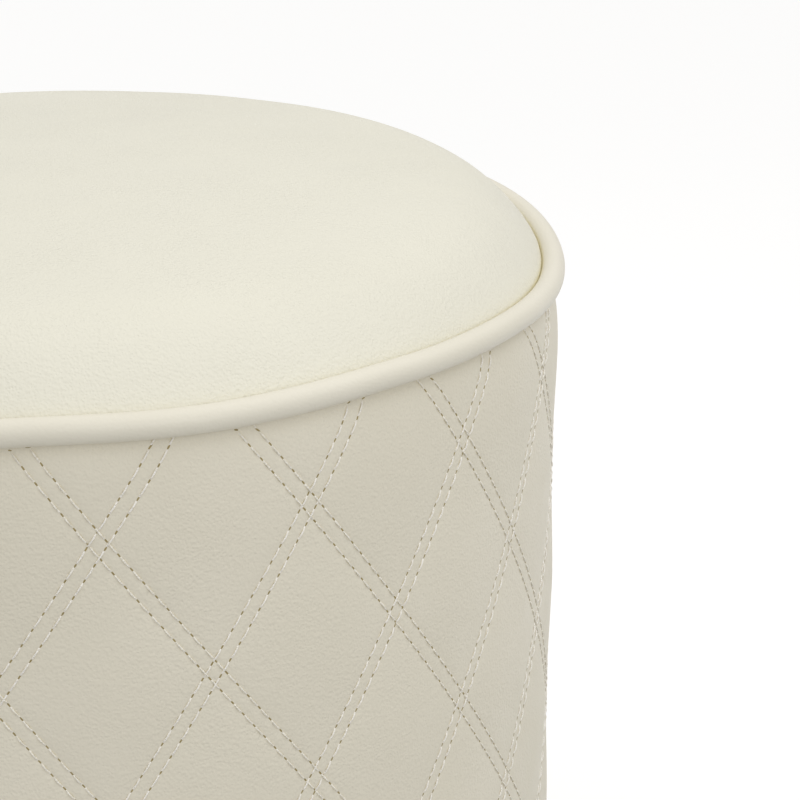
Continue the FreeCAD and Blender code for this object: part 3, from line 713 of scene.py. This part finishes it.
def crown_cover():
    """Top cover: starts a little small, is inflated over the cushion, then puckered at its seam."""
    end = crown_section(np.zeros(1))[2]
    skirt = PIPING_Z - SEAM_DROP - ALLOWANCE_Z
    core = CROWN_CORE * end
    disc, disc_faces, rim = disc_grid(CROWN_CELLS)
    angle_of = np.arctan2(disc[:, 0], -disc[:, 1])
    reach = np.hypot(disc[:, 0], disc[:, 1]) * core
    steps = np.concatenate([
        np.linspace(core, end - CROWN_EDGE, 14)[1:],
        np.linspace(end - CROWN_EDGE, end, 14)[1:],
        end + np.array([0.3, 1.0]) * skirt,
    ])
    ring_reach, ring_angle = np.meshgrid(steps, angle_of[rim], indexing="ij")
    distance = np.concatenate([reach, ring_reach.ravel()])
    angle = np.concatenate([angle_of, ring_angle.ravel()])
    to_seam = end - distance
    shrink = START_SMALLER * smooth_step(to_seam / FULL_SIZE_EDGE - 0.5)
    small = shrink
    radius, height, _ = crown_section(distance, small)
    columns = len(rim)
    index = np.concatenate([rim, len(disc) + np.arange(len(steps) * columns)])
    ring_faces = index[grid_faces(len(steps) + 1, columns)]
    faces = np.concatenate([disc_faces, ring_faces])
    piece = new_piece("crown_cover", around(radius, angle, height), faces, CROWN_LEATHER)
    weld(piece)
    inflate(piece, PIPING_Z - SEAM_DROP + FREE_FROM)
    apply_modifier(piece, "SUBSURF", levels=1)
    pucker(piece)
    apply_modifier(piece, "SOLIDIFY", thickness=LEATHER, offset=-1.0)
    return finish_piece(piece, "leather", "top_cover")


SEAM_TURN = 3 * MM  # height over which the gathers fade into the seam
GATHER_REACH = 7 * MM
DEEP_GATHER = 0.22 * MM
FINE_GATHER = 0.08 * MM
PRESS_AT = 5 * MM  # where the crown presses most on the piping
PRESS_SPREAD = 6 * MM


def pucker(piece):
    """Follow the piping up and down, press against it, and gather faintly towards the seam."""
    points = read_points(piece)
    radius = np.hypot(points[:, 0], points[:, 1])
    angle = np.arctan2(points[:, 0], -points[:, 1])
    above = points[:, 2] - (PIPING_Z - SEAM_DROP)
    near = np.exp(-above / GATHER_REACH) * smooth_step(above / SEAM_TURN)
    swollen = PRESS * np.exp(-(((above - PRESS_AT) / PRESS_SPREAD) ** 2))
    gathers = DEEP_GATHER * waves(angle, 18, 50, 7)
    gathers += FINE_GATHER * waves(angle, 60, 120, 9)
    lift = near * gathers
    lift += 0.6 * swollen + wander(angle, PIPING_WANDER) * (radius / SEAM_R) ** 6
    points[:, 2] += lift
    points[:, :2] *= (1 + 0.75 * swollen / np.maximum(radius, MM))[:, None]
    write_points(piece, points)


def apply_modifier(piece, kind, **settings):
    modifier = piece.modifiers.new("shape", kind)
    for key, value in settings.items():
        setattr(modifier, key, value)
    apply_named(piece, modifier.name)


def apply_named(piece, name):
    bpy.context.view_layer.objects.active = piece
    with bpy.context.temp_override(object=piece, active_object=piece):
        bpy.ops.object.modifier_apply(modifier=name)


def even_out(piece, moved, held):
    """Average each point's move with its neighbours', so that no fold is left of the mesh's own."""
    edges = np.zeros(len(piece.data.edges) * 2, dtype=np.int32)
    piece.data.edges.foreach_get("vertices", edges)
    first, second = edges.reshape(-1, 2).T
    neighbours = np.bincount(edges, minlength=len(moved))[:, None]
    for _ in range(EVENING_PASSES):
        total = np.zeros_like(moved)
        np.add.at(total, first, moved[second])
        np.add.at(total, second, moved[first])
        moved = np.where(held[:, None], 0.0, (moved + total / neighbours) / 2)
    return moved


def inflate(piece, held_below):
    """Cloth under air pressure, held at its seam; no point moves further than a small cap."""
    before = read_points(piece)
    group = piece.vertex_groups.new(name="seam")
    group.add(list(range(len(before))), HOLD, "REPLACE")
    group.add(np.flatnonzero(before[:, 2] < held_below).tolist(), 1.0, "REPLACE")
    cloth = piece.modifiers.new("cloth", "CLOTH")
    cloth.settings.quality = 5
    cloth.settings.mass = 0.4
    cloth.settings.tension_stiffness = 40
    cloth.settings.compression_stiffness = 40
    cloth.settings.bending_stiffness = 4.0
    cloth.settings.vertex_group_mass = group.name
    cloth.settings.use_pressure = True
    cloth.settings.uniform_pressure_force = 4.0
    cloth.settings.effector_weights.gravity = 0.0
    cloth.collision_settings.use_collision = False
    for frame_number in range(1, SIMULATED_FRAMES + 1):
        bpy.context.scene.frame_set(frame_number)
    apply_named(piece, cloth.name)
    bpy.context.scene.frame_set(1)
    moved = even_out(piece, read_points(piece) - before, before[:, 2] < held_below)
    length = np.linalg.norm(moved, axis=1, keepdims=True)
    capped = CAP * np.tanh(length / CAP) / np.maximum(length, 1e-9)
    write_points(piece, before + moved * capped)


# ---- Piping ----------------------------------------------------------------------------------


PIPING_SEGMENTS = 900
PIPING_SWAY = 0.20 * MM  # slow unevenness of the piping, in and out
PIPING_BOB = 0.15 * MM  # and up and down


def piping():
    """Leather strip round the cord, its two edges running down together into the seam."""
    segments = PIPING_SEGMENTS
    angle = np.linspace(-math.pi, math.pi, segments, endpoint=False)
    flange_r = SEAM_R + 2 * LEATHER
    size = TUBE_R + TUBE_SWELL
    last = math.acos((PIPING_R - flange_r) / size)
    tube = np.linspace(math.pi, -math.pi + last, 40)
    section = np.concatenate([
        [[SEAM_R, ALLOWANCE_Z]],
        np.stack([PIPING_R + size * np.cos(tube), PIPING_Z + size * np.sin(tube)], axis=-1),
        [[flange_r, ALLOWANCE_Z]],
    ])
    on_tube = np.concatenate([[0], np.ones(len(tube)), [0]])[:, None]
    radius = section[:, 0, None] + PIPING_SWAY * on_tube * waves(angle, 2, 7, 4)
    rise = wander(angle, PIPING_WANDER) + PIPING_BOB * waves(angle, 3, 9, 4)
    points = around(radius, angle, section[:, 1, None] + on_tube * rise)
    count = len(section)
    faces = grid_faces(count, segments)
    here = np.arange(segments)
    beside, last_row = (here + 1) % segments, (count - 1) * segments
    bottom = np.stack([beside, here, here + last_row, beside + last_row], axis=-1)
    piece = new_piece("piping", points, np.concatenate([faces, bottom]), PIPING_LEATHER)
    weld(piece)
    return finish_piece(piece, "leather", "piping_sleeve", "piping_cord")


# ---- Padding under the leather ---------------------------------------------------------------


LAYER_STEPS = 90  # points along the crown's section, in a layer under it
LAYER_SLACK = 1.2 * MM  # room between two layers
LAYER_WOBBLE = -0.05 * MM
OFF_DECK = 1 * MM  # a layer starts to follow the crown this far above the deck
OFF_DECK_REACH = 8 * MM


def turned_solid(name, section, material, segments=240, wobble=0.0):
    """Solid turned from a closed outline of (radius, height) points, slightly uneven."""
    angle = np.linspace(-math.pi, math.pi, segments, endpoint=False)
    outline = np.concatenate([section, section[:1]])
    uneven = wobble * waves(angle, 3, 14, 8)
    radius = outline[:, 0, None] + np.where(outline[:, 0, None] > MM, uneven, 0.0)
    points = around(radius, angle, outline[:, 1, None])
    piece = new_piece(name, points, grid_faces(len(outline), segments), material)
    weld(piece)
    return piece


def crown_layer(name, top_depth, bottom, material, slot, node):
    """A layer of the seat: its top lies this deep under the crown, its underside on bottom."""
    end = crown_section(np.zeros(1))[2]
    distances = np.linspace(0, end, LAYER_STEPS)
    radius, height, _ = crown_section(distances, top_depth)
    below = np.stack(bottom, axis=-1)
    section = np.concatenate([np.stack([radius, height], axis=-1), below])
    piece = turned_solid(name, section, material, wobble=LAYER_WOBBLE)
    points = read_points(piece)
    angle = np.arctan2(points[:, 0], -points[:, 1])
    share = np.hypot(points[:, 0], points[:, 1]) / SEAM_R
    off_deck = smooth_step((points[:, 2] - DECK_Z - OFF_DECK) / OFF_DECK_REACH)
    points[:, 2] += wander(angle, PIPING_WANDER) * share**6 * off_deck
    write_points(piece, points)
    return finish_piece(piece, slot, node)


def seat_padding():
    """Foam cushion on the deck and the wadding wrapped over it."""
    end = crown_section(np.zeros(1))[2]
    back = np.linspace(end, 0, LAYER_STEPS)
    slack = LAYER_SLACK
    inner = crown_section(back, LEATHER + WADDING - slack)[:2]
    foot_r = SEAM_R - LEATHER - slack
    lip = ([foot_r, foot_r - WADDING + 2 * slack], [DECK_Z + slack, DECK_Z + slack])
    under = tuple(np.concatenate([lip[i], inner[i]]) for i in (0, 1))
    depth = LEATHER + slack
    crown_layer("seat_wadding_wrap", depth, under, WADDING_FIBRE, "wadding", "seat_wadding")
    foam_r = foot_r - WADDING
    flat = (np.array([foam_r, 0.0]), np.array([DECK_Z, DECK_Z]))
    crown_layer("seat_cushion", depth + WADDING, flat, FOAM, "foam", "seat_foam")


BEHIND_SKIN = 0.7 * MM  # room between the quilted leather and its foam
FOAM_TOP_Z = TURN_IN_Z - 6 * MM
BACKING_INSIDE = 0.3 * MM  # the backing cloth lies this far inside its CAD solid's outside


def quilt_padding():
    """Foam behind the quilted skin, drawn in along the stitch lines."""
    angle = np.linspace(-math.pi, math.pi, 500, endpoint=False)
    up = np.linspace(FOAM_TOP_Z, FOLD_Z, 130)
    outer = panel_points(angle[None, :], up[:, None], lift=-LEATHER - BEHIND_SKIN)
    inner_r = backing_high.x + 0.05 * MM
    ends = [around(inner_r, angle, np.full_like(angle, z)) for z in (FOLD_Z, FOAM_TOP_Z)]
    points = np.concatenate([outer.reshape(-1, 3), *ends, outer[0]])
    piece = new_piece("quilt_padding", points, grid_faces(len(up) + 3, len(angle)), FOAM)
    weld(piece)
    return finish_piece(piece, "foam", "quilt_foam")


def backing_sheet():
    """Cloth sewn behind the foam, laid round the hardboard wall."""
    angle = np.linspace(-math.pi, math.pi, 360, endpoint=False)
    height = np.linspace(backing_low.z, backing_high.z, 40)
    radius = backing_high.x - BACKING_INSIDE + 0.05 * MM * waves(angle, 4, 20, 8)
    points = around(radius[None, :], angle[None, :], height[:, None])
    piece = new_piece("quilt_backing_cloth", points, grid_faces(len(height), len(angle)), BACKING)
    return finish_piece(piece, "backing_cloth", "quilt_backing")


DUST_ON_HEM = 32  # whole millimetres of the dust cover that lie on the leather's hem
DUST_SLOPE = 4 * MM  # and over this it comes down from the board
DUST_LIFT = 0.05 * MM
DUST_PULL = 0.12 * MM  # pulled folds at the staples
DUST_EDGE = 0.8 * MM  # its cut edge wanders in by this


def dust_sheet():
    """Thin black cloth pulled over the underside and stapled over the leather's hem."""
    rim = dust_high.x
    middle = np.linspace(0, 1, 60) * (rim - (DUST_ON_HEM + 2) * MM)
    steps = np.concatenate([middle, rim - np.arange(DUST_ON_HEM, -1, -2) * MM])
    angle = np.linspace(-math.pi, math.pi, 240, endpoint=False)
    over_hem = np.clip((steps - (rim - DUST_ON_HEM * MM)) / DUST_SLOPE, 0, 1)
    base = dust_low.z + DUST_LIFT + LEATHER * (1 - over_hem)
    folds = waves(angle, 14, 18, 3) + waves(angle, 28, 60, 6)
    height = base[:, None] + np.maximum(DUST_PULL * over_hem[:, None] * folds, -DUST_LIFT)
    edge = np.where(steps[:, None] > rim - 1 * MM, DUST_EDGE * waves(angle, 5, 40, 8), 0)
    points = around(np.maximum(steps[:, None] + np.minimum(edge, 0), 0), angle, height)
    piece = new_piece("dust_sheet", points, grid_faces(len(steps), len(angle)), DUST_CLOTH)
    weld(piece)
    return finish_piece(piece, "dust_cloth", "dust_cover")


# ---- Carried-over CAD nodes ------------------------------------------------------------------

CAD_MATERIALS = {
    "board": PLY,
    "pine": PINE,
    "hardboard": HARDBOARD,
    "leather": SIDE_LEATHER,
    "cord": CORD_COTTON,
    "foam": FOAM,
    "wadding": WADDING_FIBRE,
    "backing_cloth": BACKING,
    "dust_cloth": DUST_CLOTH,
    "foot_plastic": PLASTIC,
    "felt": FELT,
    "screw_steel": SCREW_STEEL,
    "staple_steel": STAPLE_STEEL,
}


def dress_cad_nodes():
    for part in frame["record"]["subparts"]:
        node = frame["nodes"][part["node"]]
        node.data.materials.clear()
        node.data.materials.append(CAD_MATERIALS[part["material_slot"]])


# ---- Stage -----------------------------------------------------------------------------------


def studio_sky():
    """Even white surround, brighter overhead, like a large ceiling softbox."""
    world = bpy.data.worlds.new("studio")
    world.use_nodes = True
    tree = world.node_tree
    where = tree.nodes.new("ShaderNodeTexCoord")
    split = tree.nodes.new("ShaderNodeSeparateXYZ")
    tree.links.new(where.outputs["Generated"], split.inputs[0])
    height = tree.nodes.new("ShaderNodeMapRange")
    for key, value in {"To Min": 0.5, "To Max": 1.12}.items():
        height.inputs[key].default_value = value
    tree.links.new(split.outputs["Z"], height.inputs["Value"])
    tree.links.new(height.outputs[0], tree.nodes["Background"].inputs["Strength"])
    tree.nodes["Background"].inputs["Color"].default_value = (1.0, 0.995, 0.985, 1)
    bpy.context.scene.world = world


def stage():
    """Plain pale floor, soft studio light from above and in front."""
    floor_nodes = Nodes("floor")
    floor_material = floor_nodes.surface(
        Base_Color=(0.9, 0.9, 0.9, 1),
        Roughness=0.9,
        Emission_Color=(1, 1, 1, 1),
        Emission_Strength=0.15,
    )
    reach = 12.0
    corners = [(-reach, -reach, 0), (reach, -reach, 0), (reach, reach, 0), (-reach, reach, 0)]
    floor = new_piece("floor", corners, [[0, 1, 2, 3]], floor_material)
    floor.visible_diffuse = False
    studio_sky()
    soft_light("overhead", (0.67, -0.2, 1.29), 1.0, 1.6)
    soft_light("front", (0.35, -1.05, 0.8), 0.5, 1.4)
    soft_light("rear", (-0.5, 1.2, 0.6), 0.6, 1.0)


def soft_light(name, place, size, power):
    light = bpy.data.lights.new(name, "AREA")
    light.shape = "DISK"
    light.size = size
    light.energy = power
    lamp = bpy.data.objects.new(name, light)
    lamp.location = place
    aim = Vector((0, 0, PIPING_Z)) - Vector(place)
    lamp.rotation_euler = aim.to_track_quat("-Z", "Y").to_euler()
    bpy.context.scene.collection.objects.link(lamp)


CAMERA_BACK = 3.9705 * CREST_R  # in front of the pouf's axis
CAMERA_UP = 1.1458 * CREST_R  # above the piping
LOOK_DOWN, ROLL, LOOK_RIGHT = 0.3562, 0.0022, 0.1771


def camera():
    """Close view of the drum's right-hand front edge."""
    data = bpy.data.cameras.new("camera")
    data.lens = 95.9
    data.sensor_width = 36.0
    view = bpy.data.objects.new("camera", data)
    view.location = (0, -CAMERA_BACK, PIPING_Z + CAMERA_UP)
    view.rotation_euler = (math.pi / 2 - LOOK_DOWN, ROLL, -LOOK_RIGHT)
    bpy.context.scene.collection.objects.link(view)
    bpy.context.scene.camera = view


# ---- The pouf --------------------------------------------------------------------------------

dress_cad_nodes()
panel = side_panel()
all_rows = []
for number, (falling_line, side) in enumerate([(True, -1), (True, 1), (False, -1), (False, 1)], 1):
    rows = stitch_rows(falling_line, side)
    # Falling rows take the darker thread copy: painted shade.
    stitches(f"quilt_thread_{number}", rows, THREAD_PAINTED_SHADE if falling_line else THREAD_PAINTED_LIT)
    all_rows += rows
needle_holes(all_rows)
crown_cover()
piping()
seat_padding()
quilt_padding()
backing_sheet()
dust_sheet()
camera()
stage()
bpy.context.scene.view_settings.view_transform = "Standard"
